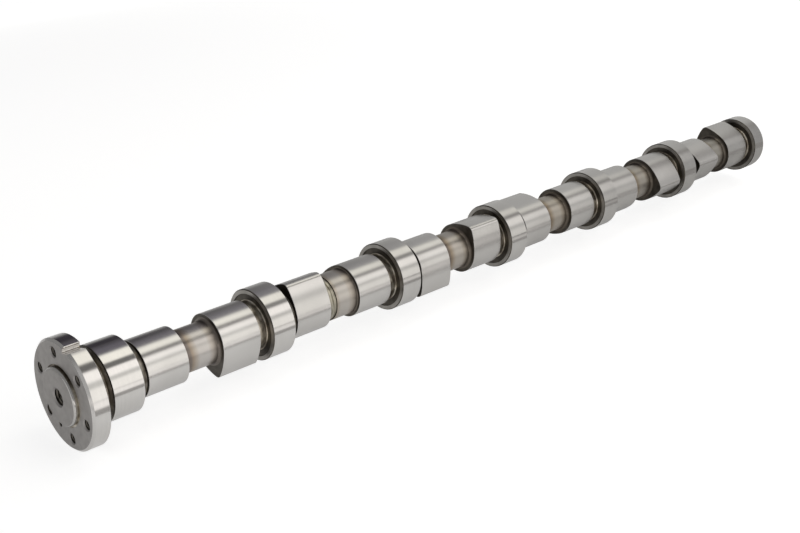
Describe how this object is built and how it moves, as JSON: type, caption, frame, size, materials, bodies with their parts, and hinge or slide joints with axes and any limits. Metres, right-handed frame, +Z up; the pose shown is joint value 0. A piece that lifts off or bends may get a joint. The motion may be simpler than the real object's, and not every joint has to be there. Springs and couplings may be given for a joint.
{
  "type": "camshaft",
  "caption": "Camshaft of an in-line engine, in one piece, with ground bearing journals, valve lobes and a front flange that carries the timing gear.",
  "frame": {"origin": "centre of the flange's front face, where the timing gear seats, on the shaft's axis", "axes": "+X along the shaft from the flange to the far end, +Z up as the shaft lies in the picture; the steep wall of the notch in the rim is 11.4 degrees from +Z, towards -Y"},
  "size_m": [0.954, 0.0929, 0.0929],
  "materials": {
    "ground_steel": "ground and polished, with tinted necks and grooves"
  },
  "bodies": {
    "root": {"camshaft": "ground_steel"}
  },
  "joints": []
}
